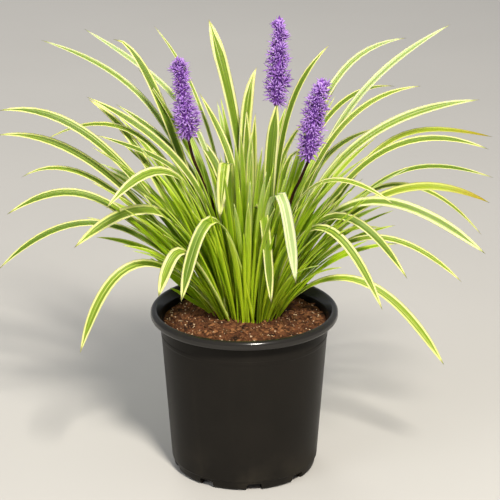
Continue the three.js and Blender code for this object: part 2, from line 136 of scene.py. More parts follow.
# The plainer leaves of a tuft. A pair goes from its inner leaves to its outer ones, or is a range.
FILL_SWING = 0.47
FILL_LEAN = 4
FILL_FIRST_FALL = 0.35
FILL_RISE = 0.56
FILL_RUN = 0.5
FILL_ROOT = 17
FILL_ROOT_RANGE = 13
FILL_UNLIKE = 0.14
FILL_LEAN_UNLIKE = 4
FILL_FALL_UNLIKE = 10
FILL_WIDTH = (4.8, 7.4)
FILL_TURN = (5, 45)
FILL_TAPER = 0.6
FILL_YOUNG = (0.9, 0.3)
FILL_PALE = 0.5
FILL_PALE_EVERY = 3

# The short leaves that thicken the foot of a tuft
BASE_LEAVES = 26
BASE_STEPS = 12
BASE_LONG = (90, 165)
BASE_LEAN = 2
BASE_LEAN_UNLIKE = 4
BASE_FALL = 8
BASE_FALL_SHARE = 0.7
BASE_FALL_UNLIKE = 8
BASE_RISE = 0.62
BASE_RUN = 0.42
BASE_SWING = 0.5
BASE_ROOT = (13, 30)
BASE_WIDTH = (4, 6.5)
BASE_TURN = (5, 45)
BASE_TAPER = 0.45
BASE_YOUNG = 0.8

# The small fan that has come up beside the crowns. A pair goes from its lowest leaf to its highest.
SHOOT_TUFT = "west"
SHOOT_LEAVES = 8
SHOOT_ROOT = 34
SHOOT_LEAN = (50, 22)
SHOOT_LONG = (38, 125)
SHOOT_UNLIKE = 0.08
SHOOT_FALL = (6, 26)
SHOOT_SWING = 16
SHOOT_WIDTH = (6, 8)
SHOOT_TURN = (20, 50)
SHOOT_TAPER = 0.5
SHOOT_YOUNG = 0.5
SHOOT_ROOM = 9.0

# A leaf's own shape
LEAF_STEPS = 26
UPPER = (-1.0, -0.74, -0.4, 0.0, 0.4, 0.74, 1.0)  # points across a leaf's upper face
LOWER = (0.62, 0.0, -0.62)  # and back across its lower face
SECTION = UPPER + LOWER
LEAF_THICK = 0.6
EDGE_THIN = 0.55
LEAF_FOLD = (52, 12)  # at its foot and where it has opened
FOLD_END = 0.4
KEEL_POWER = 1.7
LEAF_SWAY = 0.006
SWAY_WAVE = 6.28  # in radians, about one wave along a leaf
SUNK = 7  # how far a leaf goes on below its root
FAR_UNIT = 100
TUFT_SEED = 11

# ---- Flowers. A pair goes from the foot of a spike to its top, or is a range. ----
ROUTE_STEPS = 60
ROUTE_REACH = 0.01
STEM_STEPS = 48
STEM_SIDES = 14
STEM_TAPER = (1.02, 0.9)
STEM_BUMP = 0.03
STEM_BUMPS = 31
STEM_POINT = 0.5
SPIKE_ROWS = 20
SPIKE_ROUND = 8
SPIKE_SPAN = (0.045, 0.96)
SPIKE_SEED = 31
CORE_STEPS = 20
CORE_SIDES = 10
CORE_SHARE = 0.4
CORE_LEAST = 0.8
CORE_FOOT = 0.35
TEPALS = 6
TEPAL_RINGS = ((0, 0.3, 0), (0.3, 0.8, 0.04), (0.65, 1.0, 0.0))  # share of length, width and lift
TEPAL_MARKS = (0.0, 0.35, 0.7)
TEPAL_WIDTH = 1.3
TEPAL_ABOVE = 0.3
TEPAL_BELOW = 0.55
TEPAL_DROOP = 0.1
TEPAL_LONG = (0.8, 1.25)
TEPAL_UNLIKE = 14
THROAT = 0.35
FLORET_SIZE = (8.6, 6.0)
FLORET_UNLIKE = (0.8, 1.2)
FLORET_SINK = 0.85
FLORET_OPENING = (20, 58)
FLORET_LIFT = (12, 52)
LIFT_UNLIKE = 18
REACH_UNLIKE = (0.66, 1.14)
ANTHERS_FROM = 40  # a floret that opens this far shows its anthers
ANTHER_SHARE = 0.45
ANTHER_WIDTH = 1.0
ANTHER_PALE = 0.85
BUD_RINGS = ((0, 0.45), (0.3, 0.95), (0.65, 0.9), (0.9, 0.4))  # share of length and width
BUD_MARKS = (0.2, 0.5, 0.75, 0.9)
BUD_SIDES = 6
BUD_GIRTH = 0.3
BUD_SIZE = (3.4, 4.8)
BUD_CHANCE = 0.14
BUD_REACH = 1.1
BUD_SINK = 0.7
PLACE_UNLIKE = 0.3
ROW_UNLIKE = (0.1, 0.9)
FIRST_TURN = 1.05  # in radians, about the space between two tepals
FLORET_NEAREST = 1.0
BUD_NEAREST = 0.8
STEEPEST = 0.65
# The core's pick, near the darkest violet: the core is painted shade deep inside the spike.
CORE_SHADE = 0.1
THIN_FROM = 0.86  # above this share of the spike every fourth place stays empty
THIN_EVERY = 4
BUDS_FROM = 0.88
TOP_BUDS_FROM = 0.93


def lerp(a, b, share):
    return a + (b - a) * share


def smooth(low, high, value):
    share = min(1.0, max(0.0, (value - low) / (high - low)))
    return share * share * (3 - 2 * share)


def heading(bearing):
    return np.array([math.cos(math.radians(bearing)), math.sin(math.radians(bearing)), 0.0])


def unit(vector):
    return vector / np.linalg.norm(vector)


def turned(vector, axis, angle):
    """vector turned about a unit axis, in radians."""
    flat = axis * np.dot(axis, vector)
    return flat + (vector - flat) * math.cos(angle) + np.cross(axis, vector) * math.sin(angle)


def seeded(seed):
    """Numbers from 0 to 1 that are the same on every run, in the order of the part's own source."""
    state = [seed]
    mask = 0xFFFFFFFF

    def draw():
        state[0] = (state[0] + 0x6D2B79F5) & mask
        now = state[0]
        mix = ((now ^ (now >> 15)) * (1 | now)) & mask
        mix = ((mix + (((mix ^ (mix >> 7)) * (61 | mix)) & mask)) & mask) ^ mix
        return ((mix ^ (mix >> 14)) & mask) / 4294967296

    return draw


# ---- Finishes ----
class Wire:
    """A value inside a finish. Python's operators on it add Math nodes."""

    def __init__(self, finish, socket):
        self.finish, self.socket = finish, socket

    def __add__(self, other):
        return self.finish.maths("ADD", self, other)

    __radd__ = __add__

    def __sub__(self, other):
        return self.finish.maths("SUBTRACT", self, other)

    def __rsub__(self, other):
        return self.finish.maths("SUBTRACT", other, self)

    def __mul__(self, other):
        return self.finish.maths("MULTIPLY", self, other)

    __rmul__ = __mul__

    def __abs__(self):
        return self.finish.maths("ABSOLUTE", self)


class Finish:
    """A procedural material, grown from its Principled shader."""

    def __init__(self, name, **settings):
        self.material = bpy.data.materials.new(name)
        self.material.use_nodes = True
        self.tree = self.material.node_tree
        self.shader = self.tree.nodes["Principled BSDF"]
        for socket, value in settings.items():
            self.shader.inputs[socket.replace("_", " ")].default_value = value

    def node(self, kind, settings=None, values=None, output=0):
        """Adds a node: its settings first, then the values or wires of its sockets."""
        made = self.tree.nodes.new(kind)
        for key, value in (settings or {}).items():
            setattr(made, key, value)
        for key, value in (values or {}).items():
            if isinstance(value, Wire):
                self.tree.links.new(value.socket, made.inputs[key])
            else:
                made.inputs[key].default_value = value
        return Wire(self, made.outputs[output])

    def maths(self, operation, *values):
        return self.node("ShaderNodeMath", {"operation": operation}, dict(enumerate(values)))

    def mark(self, name):
        """A number that the mesh holds on each vertex."""
        return self.node("ShaderNodeAttribute", {"attribute_name": name}, output="Fac")

    def place(self):
        return self.node("ShaderNodeTexCoord", output="Object")

    def vector(self, x=0, y=0, z=0):
        return self.node("ShaderNodeCombineXYZ", None, {0: x, 1: y, 2: z})

    def noise(self, vector, scale, detail=2, roughness=0.5):
        values = {"Vector": vector, "Scale": scale, "Detail": detail, "Roughness": roughness}
        return self.node("ShaderNodeTexNoise", None, values)

    def step(self, value, low, high):
        """Rises smoothly from 0 to 1 as value goes from low to high."""
        values = {"Value": value, "From Min": low, "From Max": high}
        return self.node("ShaderNodeMapRange", {"interpolation_type": "SMOOTHSTEP"}, values)

    def mix(self, share, first, second):
        """A colour between two colours or colour wires."""
        first = first if isinstance(first, Wire) else (*first, 1)
        second = second if isinstance(second, Wire) else (*second, 1)
        return self.node("ShaderNodeMix", {"data_type": "RGBA"}, {0: share, 6: first, 7: second}, 2)

    def bump(self, height, distance, strength=1.0):
        values = {"Height": height, "Distance": distance, "Strength": strength}
        return self.node("ShaderNodeBump", None, values, "Normal")

    def feed(self, **wires):
        for socket, wire in wires.items():
            self.tree.links.new(wire.socket, self.shader.inputs[socket.replace("_", " ")])
        return self


def srgb(red, green, blue):
    """A colour from 0 to 255 as light, by the sRGB curve."""
    return tuple(
        ((c / 255 + 0.055) / 1.055) ** 2.4 if c > 10 else c / 255 / 12.92 for c in (red, green, blue)
    )


# A pair is the two ends between which a finish drifts.
LEAF_GREENS = srgb(90, 116, 16), srgb(148, 170, 48)
PALE_HAIR = srgb(190, 204, 110)
SHADE_GREEN = srgb(76, 106, 22)
PALE_AND_SUNLIT_GREEN = srgb(176, 194, 132)
LIMES = srgb(142, 182, 8), srgb(206, 230, 42)
SHADED_LIME = srgb(66, 102, 4)
CREAMS = srgb(224, 226, 124), srgb(242, 242, 174)
PALE_CREAM = srgb(210, 218, 164)
LIME_CREAM = srgb(186, 214, 44)
MILKY_STRIPE = srgb(222, 230, 184)
YELLOWING = srgb(160, 170, 14)
BROWN_TIP = srgb(162, 142, 4)
DRY_POINT = srgb(222, 212, 130)
UNDERSIDE = srgb(150, 176, 100)
SHADED_THROAT_VIOLETS = srgb(108, 54, 148), srgb(152, 96, 192)
LILACS = srgb(164, 116, 204), srgb(206, 168, 236)
ANTHERS = srgb(224, 204, 190)
MAROONS = srgb(26, 8, 4), srgb(52, 20, 10)
STEM_FOOT = srgb(96, 104, 44)
EARTHS = srgb(32, 17, 10), srgb(112, 68, 42)
DRY_CRUMB = srgb(150, 106, 70)
BARKS = srgb(44, 25, 15), srgb(168, 114, 72)
PALE_CHIPS = srgb(196, 158, 116), srgb(236, 214, 180)
POT_BLACKS = srgb(30, 28, 25), srgb(37, 34, 30)
DUST = srgb(58, 53, 45)
FLOOR_GREYS = srgb(196, 193, 187), srgb(203, 200, 194)


def leaf_finish():
    """Streaked green between cream margins, lime near the root and straw at some tips."""
    f = Finish(
        "liriope_leaf", IOR=1.42, Specular_IOR_Level=0.4, Subsurface_Weight=0.45,
        Subsurface_Radius=(0.7, 1.0, 0.25), Subsurface_Scale=0.0015,
    )
    across, along, pick, age = (f.mark(n) for n in ("across", "along", "pick", "age"))
    under, pale, far, young = (f.mark(n) for n in ("under", "pale", "far", "young"))
    side = abs(across)
    streak = f.noise(f.vector(across * 5.5, along * 0.9, pick * 41), 1, 3, 0.6)
    hair = f.noise(f.vector(across * 19, along * 1.6, pick * 67), 1, 2, 0.6)
    drift = f.noise(f.vector(along * 5, pick * 23), 1, 2)
    green = f.mix(f.step(streak, 0.34, 0.66), *LEAF_GREENS)
    green = f.mix(f.step(hair, 0.5, 0.78) * 0.5, green, PALE_HAIR)
    green = f.mix(f.step(pick, 0.45, 1.0) * 0.6, green, SHADE_GREEN)
    # pale makes the green, the cream margins and the inner stripes paler. On most leaves this is their
    # own variegation; on the hanging leaf at 303 it is a painted sun reflection.
    green = f.mix(f.step(pale * (along + 0.4), 0.3, 0.9) * 0.8, green, PALE_AND_SUNLIT_GREEN)
    lime = f.mix(f.step(streak, 0.3, 0.7), *LIMES)
    # Painted shade: a foot leaf whose age is below nought turns deep green, standing for the shade
    # between the leaves at the clump's foot.
    lime = f.mix(f.step(-1 * age, 0.45, 0.9) * 0.75, lime, SHADED_LIME)
    foot = 1 - f.step(far - young, 0.1, 1.6)
    green = f.mix(foot * 0.9, green, lime)
    cream = f.mix(f.step(hair, 0.3, 0.75), *CREAMS)
    cream = f.mix(f.step(pale, 0.0, 0.6), cream, PALE_CREAM)
    cream = f.mix(foot, cream, LIME_CREAM)
    edge = 0.58 + (drift - 0.5) * 0.2 + (pick - 0.5) * 0.16 + (streak - 0.5) * 0.14 - pale * 0.12
    edge = edge - f.step(along, 0.86, 1.0) * 0.5
    margin = f.step(side - edge, -0.07, 0.08) * (1 - f.step(-1 * age, 0.0, 0.3) * 0.8)
    colour = f.mix(margin, green, cream)
    inner = f.step(streak + pale * 0.14, 0.62, 0.7) * (1 - f.step(side, 0.35, 0.6)) * (1 - foot * 0.6)
    colour = f.mix(inner * 0.8, colour, f.mix(pale, cream, MILKY_STRIPE))
    old = f.step(age, 0.2, 0.9)
    yellowing = f.step(along + (drift - 0.5) * 0.2, 0.45, 0.8) * old * 0.6
    colour = f.mix(yellowing, colour, YELLOWING)
    colour = f.mix(f.step(along + (drift - 0.5) * 0.1, 0.78, 0.98) * old, colour, BROWN_TIP)
    colour = f.mix(f.step(along, 0.97, 1.0) * 0.7, colour, DRY_POINT)
    colour = f.mix(under * (1 - foot) * 0.3, colour, UNDERSIDE)
    grain = hair * 0.6 + f.noise(f.vector(across * 38, along * 2, pick * 13), 1, 2) * 0.4
    return f.feed(
        Base_Color=colour,
        Roughness=0.34 + drift * 0.2,
        Normal=f.bump(grain, 0.0004, 0.6),
    ).material


def floret_finish():
    """Violet tepals with pale anthers in the middle, deep violet at the throat and lilac at their ends:
    partly their own colour, with painted shade in the throat and a painted highlight on the ends.
    """
    f = Finish("violet_floret", Roughness=0.55, Specular_IOR_Level=0.3)
    along, pick, pale = f.mark("along"), f.mark("pick"), f.mark("pale")
    grain = f.noise(f.place(), 900, 2)
    # The deep throat colour is partly painted shade, and the lilac ends are partly a painted highlight.
    # The buds and the spike's core take the same colours.
    deep = f.mix(pick, *SHADED_THROAT_VIOLETS)
    light = f.mix(pick, *LILACS)
    colour = f.mix(f.step(along + (grain - 0.5) * 0.5, 0.1, 0.95), deep, light)
    colour = f.mix(pale, colour, ANTHERS)
    return f.feed(Base_Color=colour, Roughness=0.45 + grain * 0.25).material


def stem_finish():
    """Smooth dark maroon, streaked lengthwise and turning green at the foot."""
    f = Finish("maroon_stem", Roughness=0.45, Specular_IOR_Level=0.2)
    along, across = f.mark("along"), f.mark("across")
    streak = f.noise(f.vector(across * 6, along * 14), 1, 3)
    dark = f.mix(f.step(streak, 0.35, 0.7), *MAROONS)
    colour = f.mix((1 - f.step(along, 0.0, 0.3)) * 0.8, dark, STEM_FOOT)
    return f.feed(
        Base_Color=colour,
        Roughness=0.36 + streak * 0.2,
        Normal=f.bump(streak, 0.0003, 0.4),
    ).material


def soil_finish():
    """Dark crumb, reddish bark and a few pale chips, told apart by the mark on each lump."""
    f = Finish("potting_mix", Roughness=0.95, Specular_IOR_Level=0.2)
    pick, pale = f.mark("pick"), f.mark("pale")
    place = f.place()
    coarse, fine = f.noise(place, 90, 4, 0.6), f.noise(place, 620, 3, 0.6)
    earth = f.mix(f.step(coarse, 0.3, 0.72), *EARTHS)
    earth = f.mix(f.step(fine, 0.56, 0.74) * 0.6, earth, DRY_CRUMB)
    lump = f.mix(pick, *BARKS)
    colour = f.mix(f.step(pick, 0.01, 0.02) * 0.75, earth, lump)
    colour = f.mix(pale, colour, f.mix(fine, *PALE_CHIPS))
    return f.feed(
        Base_Color=colour,
        Roughness=0.75 + fine * 0.25,
        Normal=f.bump(fine, 0.0008, 0.7),
    ).material


def pot_finish():
    """Black moulded polypropylene: satin and finely grained, with a little dust and a glossier rim."""
    f = Finish("black_polypropylene", Specular_IOR_Level=0.05, Coat_Roughness=0.16)
    place = f.place()
    height = f.node("ShaderNodeSeparateXYZ", None, {0: place}, "Z")
    cloud, grain = f.noise(place, 26, 4, 0.55), f.noise(place, 1400, 2)
    stretch = f.node("ShaderNodeMapping", None, {"Vector": place, "Scale": (60, 60, 5)})
    streak = f.noise(stretch, 1, 3)
    dust = (1 - f.step(height, 0.0, 0.05)) * f.step(cloud, 0.4, 0.75) * 0.55
    dust = dust + f.step(streak, 0.52, 0.8) * 0.16
    colour = f.mix(dust, f.mix(cloud, *POT_BLACKS), DUST)
    return f.feed(
        Base_Color=colour,
        Roughness=0.3 + cloud * 0.1 + dust * 0.5 + (grain - 0.5) * 0.06,
        Coat_Weight=f.step(height, 0.1465, 0.148) * 0.65,
        Normal=f.bump(grain + cloud * 2, 0.00012, 0.5),
    ).material


def floor_finish():
    f = Finish("pale_floor", Roughness=0.9, Specular_IOR_Level=0.2)
    cloud = f.noise(f.place(), 3, 3)
    return f.feed(Base_Color=f.mix(cloud, *FLOOR_GREYS)).material


# ---- Meshes ----
class Body:
    """Gathers closed skins into one mesh, with named numbers on each vertex for its finish."""

    def __init__(self, *marks):
        self.points, self.faces, self.count = [], [], 0
        self.marks = {name: [] for name in marks}

    def add(self, points, faces, **marks):
        points = np.asarray(points, float).reshape(-1, 3)
        self.points.append(points)
        self.faces += [tuple(self.count + i for i in face) for face in faces]
        for name, values in self.marks.items():
            values.append(np.broadcast_to(np.asarray(marks.get(name, 0.0), float), len(points)))
        self.count += len(points)

    def skin(self, rings, tip, **marks):
        """Rings of equal count joined one to the next, shut at the start and drawn to a tip at the end.
        A mark is one number, or one for each point of the rings and one more for the tip."""
        rings = np.asarray(rings)
        rows, count = rings.shape[:2]
        faces = []
        for i in range(rows - 1):
            for j in range(count):
                k = (j + 1) % count
                faces.append((i * count + j, i * count + k, (i + 1) * count + k, (i + 1) * count + j))
        last, end = (rows - 1) * count, rows * count
        faces += [(last + j, last + (j + 1) % count, end) for j in range(count)]
        faces.append(tuple(range(count - 1, -1, -1)))
        self.add(np.vstack([rings.reshape(-1, 3), tip]), faces, **marks)

    def make(self, name, finish, slot, *replaced):
        mesh = bpy.data.meshes.new(name)
        mesh.from_pydata((np.vstack(self.points) * MM).tolist(), [], self.faces)
        for mark, values in self.marks.items():
            attribute = mesh.attributes.new(mark, "FLOAT", "POINT")
            attribute.data.foreach_set("value", np.concatenate(values).astype(np.float32))
        mesh.shade_smooth()
        return set_piece(mesh, name, finish, slot, *replaced)


def set_piece(mesh, name, finish, slot, *replaced):
    mesh.materials.append(finish)
    piece = bpy.data.objects.new(name, mesh)
    bpy.context.scene.collection.objects.link(piece)
    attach(piece, "root")
    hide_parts(*replaced)
    return piece


# ---- Leaves ----
def leaf(bearing, root, elbow, tip, width, turn=0, bend=2 / 3, taper=0.72, **more):
    """The numbers of one leaf, nearly all as in the part's source, and those of its looks.
    start: the bearing of its root. first: the share of its turn that it has there.
    foot: its width there, as a share. spread: where it is widest. room: kept free beside its root.
    pale: how pale it is, mostly its own variegation; on the hanging leaf at 303 it is a painted sun
    reflection.
    age: how yellow it is; below nought, painted shade that darkens its lime at the clump's foot.
    young: how far up it stays lime."""
    spec = dict(
        bearing=bearing, root=root, elbow=elbow, tip=tip, width=width, turn=turn, bend=bend, taper=taper,
        start=bearing, first=0.45, foot=0.32, spread=0.7, room=FOOT_ROOM,
        pale=0.0, age=0.0, young=-0.5, pick=None,
    )
    spec.update(more)
    return spec


TUFTS = [
    ("east", 0, dict(seed=101, count=10, long=205, short=150, lean=32, fall=90), [
        leaf(16, 21, (2, 350), (54, 396), 6.5, 50, 0.8, 0.76, age=0.3),
        leaf(21, 28, (22, 350), (140, 347), 6.8, 40),
        leaf(12, 28, (20, 335), (187, 338), 9.5, 55, pale=0.35),
        leaf(18, 28, (92, 329), (210, 294), 6.5, 40, 0.9, age=0.9),
        leaf(6, 28, (62, 355), (192, 297), 7.5, 45),
        leaf(2, 28, (88, 313), (194, 275), 6, 35, 0.8),
        leaf(-3, 28, (78, 315), (190, 257), 9, 50, taper=0.7, age=1.0),
        leaf(8, 28, (82, 345), (190, 212), 6, 40),
        leaf(-12, 28, (42, 333), (188, 220), 10, 60, taper=0.78, pale=0.35),
        leaf(-20, 26, (38, 323), (124, 198), 9, 45),
        leaf(-5, 28, (67, 280), (167, 183), 7, 45),
        leaf(-14, 28, (70, 245), (155, 112), 9.5, 55),
        leaf(8, 20, (7, 320), (30, 298), 8, 45),
        leaf(12, 17, (1.5, 290), (9.5, 347), 12, 80, 0.8, 0.8, pick=1.0),
    ]),
    ("north_east", 45, dict(seed=102, count=9, long=230, short=170, lean=42, fall=105), [
        leaf(28, 28, (54, 345), (187, 393), 7.2, 50, 0.8, pale=0.5),
        leaf(40, 28, (53, 382), (168, 374), 7.2, 45, 0.8, pale=0.45),
        leaf(45, 28, (33, 360), (171, 323), 6, 40),
        leaf(36, 26, (50, 290), (124, 297), 6, 40, 0.9),
        leaf(30, 22, (2, 288), (42, 323), 7, 20, 0.8),
    ]),
    ("north", 90, dict(seed=103, count=14, long=215, short=165, lean=46, fall=112), [
        leaf(
            148, 20, (-1, 305), (42, 413), 12.5, 68,
            taper=0.86, start=84, first=-0.6, spread=1.0, pale=0.25,
        ),
        leaf(5, 22, (-13, 335), (6, 374), 11, 80, taper=0.8, start=78, first=1.0, spread=0.8, pale=0.1),
        leaf(95, 17, (0, 290), (4, 335), 8),
        leaf(72, 19, (6, 300), (16, 328), 8),
    ]),
    ("north_west", 135, dict(seed=104, count=9, long=230, short=170, lean=40, fall=105), [
        leaf(150, 28, (46, 354), (197, 375), 6.4, 45, 0.8, pale=0.4),
        leaf(140, 28, (12, 335), (174, 382), 6.5, 45, 0.9, pale=0.6),
        leaf(124, 27, (-8, 330), (128, 386), 4, 30, age=0.3, pale=0.3),
        leaf(154, 25, (72, 398), (113, 389), 9.5, 45),
        leaf(148, 26, (-15, 275), (120, 323), 7, 40, pale=0.3),
        leaf(135, 20, (2, 277), (57, 308), 10, 20, 0.9),
        leaf(130, 19, (-15, 282), (48, 342), 8, 20, 0.9),
    ]),
    ("west", 180, dict(seed=105, count=10, long=210, short=150, lean=32, fall=90), [
        leaf(164, 26, (-20, 288), (125, 342), 8, 45),
        leaf(160, 27, (80, 312), (126, 337), 8, 45, 0.9),
        leaf(178, 28, (92, 356), (195, 338), 9.5, 55),
        leaf(172, 28, (103, 325), (202, 308), 8.5, 50),
        leaf(168, 28, (111, 314), (184, 264), 6.5, 40),
        leaf(184, 28, (110, 300), (189, 247), 9, 50, 0.8),
        leaf(188, 28, (96, 303), (198, 200), 7.5, 50),
        leaf(199, 27, (32, 313), (134, 228), 11.5, 50, taper=0.75),
        leaf(162, 28, (38, 376), (167, 295), 6, 35),
        leaf(166, 26, (10, 284), (116, 308), 6, 35, 0.9),
    ]),
    ("south_west", 225, dict(seed=906, count=12, long=180, short=120, lean=29, fall=80), [
        leaf(207, 28, (95, 286), (140, 140), 10, 55, taper=0.72),
        leaf(215, 26, (28, 364), (124, 278), 12, 40, taper=0.7),
        leaf(249, 23, (9, 354), (30, 254), 11, 20, 0.85, 0.8, start=243, young=0.4),
        leaf(228, 28, (64, 259), (91, 198), 11.5, 40, 0.9, 0.8, start=240),
    ]),
    ("south", 270, dict(seed=107, count=13, long=190, short=130, lean=12, fall=42), [
        leaf(228, 28, (52, 335), (94, 196), 11, 45, 0.72, 0.8, start=288, pale=0.15, young=0.2),
        # This hanging leaf's high pale is a painted sun reflection that whitens its green.
        leaf(303, 20, (50, 332), (77, 208), 10.5, 30, 0.9, 0.8, start=272, pale=0.7, young=0.2),
        leaf(298, 26, (20, 338), (42, 180), 9, 20, 0.8, 0.8, start=275, young=0.4, pick=1.0),
        leaf(288, 16, (2, 285), (7, 328), 9, taper=0.7),
        leaf(250, 17, (3, 280), (8, 305), 8),
    ]),
    ("south_east", 315, dict(seed=208, count=12, long=165, short=125, lean=27, fall=74), [
        leaf(325, 26, (41, 328), (120, 183), 9, 45, taper=0.72),
        leaf(334, 26, (8, 336), (117, 275), 7, 30),
    ]),
]

SPIKES = [
    dict(
        name="left",
        stem=[
            (-20, 15.5, 138), (-20, 15.5, 156), (-22, 17, 225),
            (-38, 18, 271), (-46, 20, 291), (-50, 21.5, 307),
        ],
        middle=(-54, 23, 345),
        tip=(-59, 24, 385),
        reach=(6, 12.2, 12.8, 11, 8, 8, 10.4, 6.4, 4),
    ),
    dict(
        name="middle",
        stem=[(24.5, 15, 138), (24.5, 15, 156), (26, 15, 210), (27.5, 14.5, 275), (28.5, 14, 341)],
        middle=(31, 14, 385),
        tip=(31, 14, 425),
        reach=(7, 11.5, 12, 12, 10.6, 8.9, 7.4, 5.6, 3.8),
    ),
    dict(
        name="right",
        stem=[
            (27, -4, 138), (27, -4, 156), (33, -6, 215),
            (42, -8, 261), (50, -10, 281), (56.5, -12, 298),
        ],
        middle=(61, -13, 336),
        tip=(69, -15, 375),
        reach=(5.5, 10.5, 12, 12.4, 11.4, 10, 8.8, 7.8, 6.8),
    ),
]


def wrapped(angle):
    """The same angle between -180 and 180 degrees."""
    return (angle + 540) % 360 - 180


def lengths_along(line):
    """The distance along a line of points from its start to each of them."""
    steps = np.linalg.norm(np.diff(line, axis=0), axis=1)
    return np.concatenate([[0], np.cumsum(steps)])


class Spine:
    """A leaf's middle line: a cubic curve read by its share of length."""

    def __init__(self, spec, tuft_bearing):
        turn = wrapped(spec["start"] - tuft_bearing)
        room = max(0.0, spec["root"] * math.tan(math.radians(WEDGE / 2)) - spec["room"])
        start = CLUMP + heading(tuft_bearing) * spec["root"]
        start = start + heading(tuft_bearing + 90) * (turn / (WEDGE / 2) * room)
        start[2] = LEAF_BASE
        ahead = heading(spec["bearing"])
        elbow, tip = start + ahead * spec["elbow"][0], start + ahead * spec["tip"][0]
        elbow[2], tip[2] = spec["elbow"][1], spec["tip"][1]
        first, second = lerp(start, elbow, spec["bend"]), lerp(tip, elbow, spec["bend"])
        self.points = np.array([start, first, second, tip])
        self.shares = np.linspace(0, 1, SPINE_POINTS)
        self.lengths = lengths_along(self.at_curve(self.shares))
        self.length = self.lengths[-1]

    def at_curve(self, t):
        t = np.asarray(t)[..., None]
        a, b, c, d = self.points
        return a * (1 - t) ** 3 + 3 * b * t * (1 - t) ** 2 + 3 * c * t * t * (1 - t) + d * t**3

    def at(self, share):
        return self.at_curve(np.interp(share * self.length, self.lengths, self.shares))

    def along(self, share):
        low, high = max(0.0, share - SPINE_REACH), min(1.0, share + SPINE_REACH)
        return unit(self.at(high) - self.at(low))


def half_width(spec, share):
    spread = spec["foot"] + (1 - spec["foot"]) * math.sin(math.pi / 2 * min(1, share / spec["spread"]))
    point = max(0.0, (share - spec["taper"]) / (1 - spec["taper"]))
    return spec["width"] / 2 * spread * (1 - point**BLADE_POINT)


def nearest(spot, a, b):
    way = b - a
    share = min(1.0, max(0.0, np.dot(spot - a, way) / np.dot(way, way)))
    return np.linalg.norm(spot - a - way * share)


def clear_of_spikes(spec, tuft_bearing):
    """Whether a leaf keeps clear of every flower stem and spike."""
    spine = Spine(spec, tuft_bearing)
    for i in range(1, CLEAR_STEPS + 1):
        spot, half = spine.at(i / CLEAR_STEPS), half_width(spec, i / CLEAR_STEPS)
        for spike in SPIKES:
            stem = [np.array(p, float) for p in spike["stem"]]
            tip = np.array(spike["tip"], float)
            knots = [*stem, lerp(stem[-1], tip, 0.5), tip]
            for k in range(len(knots) - 1):
                room = STEM_ROOM if k + 1 < len(stem) else SPIKE_ROOM
                if nearest(spot, knots[k], knots[k + 1]) < room + half:
                    return False
    return True


def arch(lean, rise, fall, run):
    """The elbow and tip of a leaf that rises and then falls away, at angles from upright."""
    lean, fall = math.radians(lean), math.radians(fall)
    elbow = (rise * math.sin(lean), LEAF_BASE + rise * math.cos(lean))
    return elbow, (elbow[0] + run * math.sin(fall), elbow[1] + run * math.cos(fall))


def filling(bearing, fill):
    """The plainer leaves of a tuft, by the rule and the draws of the part's source."""
    draw = seeded(fill["seed"])

    def unlike(middle, most):
        return middle + most * (2 * draw() - 1)

    specs = []
    for i in range(fill["count"]):
        rank = (i + draw()) / fill["count"]
        towards = unlike(bearing, WEDGE * FILL_SWING)
        length = lerp(fill["long"], fill["short"], rank) * unlike(1, FILL_UNLIKE)
        lean = unlike(lerp(FILL_LEAN, fill["lean"], rank), FILL_LEAN_UNLIKE)
        fall = unlike(lerp(FILL_FIRST_FALL, 1, rank) * fill["fall"], FILL_FALL_UNLIKE)
        width = lerp(*FILL_WIDTH, draw())
        turn = lerp(*FILL_TURN, draw())
        elbow, tip = arch(lean, FILL_RISE * length, fall, FILL_RUN * length)
        spec = leaf(
            towards, FILL_ROOT + FILL_ROOT_RANGE * rank, elbow, tip, width, turn, taper=FILL_TAPER,
            young=lerp(*FILL_YOUNG, rank), pale=FILL_PALE * (i % FILL_PALE_EVERY == 1),
        )
        if clear_of_spikes(spec, bearing):
            specs.append(spec)
    return specs


def base_leaf(bearing, fill, rank, draw):
    """A narrow leaf at the clump's foot, upright at rank 0 and leaning out at rank 1."""
    length = draw.uniform(*BASE_LONG)
    lean = lerp(BASE_LEAN, fill["lean"], rank) + draw.uniform(-BASE_LEAN_UNLIKE, BASE_LEAN_UNLIKE)
    fall = lerp(BASE_FALL, BASE_FALL_SHARE * fill["fall"], rank)
    fall = fall + draw.uniform(-BASE_FALL_UNLIKE, BASE_FALL_UNLIKE)
    elbow, tip = arch(lean, BASE_RISE * length, fall, BASE_RUN * length)
    swing = draw.uniform(-BASE_SWING, BASE_SWING) * WEDGE
    return leaf(
        bearing + swing, lerp(*BASE_ROOT, rank), elbow, tip,
        draw.uniform(*BASE_WIDTH), draw.uniform(*BASE_TURN),
        # An age below nought is painted shade: it darkens this foot leaf's lime, for the shade between
        # the leaves.
        taper=BASE_TAPER, age=-draw.random(), young=BASE_YOUNG, room=0.0,
    )


def shoot_leaf(bearing, rank, draw):
    """A leaf of the small side fan, low and short at rank 0 and higher and longer at rank 1."""
    length = lerp(*SHOOT_LONG, rank) * draw.uniform(1 - SHOOT_UNLIKE, 1 + SHOOT_UNLIKE)
    lean = lerp(*SHOOT_LEAN, rank)
    elbow, tip = arch(lean, length / 2, lean + draw.uniform(*SHOOT_FALL), length / 2)
    return leaf(
        bearing + draw.uniform(-SHOOT_SWING, SHOOT_SWING), SHOOT_ROOT, elbow, tip,
        draw.uniform(*SHOOT_WIDTH), draw.uniform(*SHOOT_TURN),
        taper=SHOOT_TAPER, young=SHOOT_YOUNG, room=SHOOT_ROOM,
    )


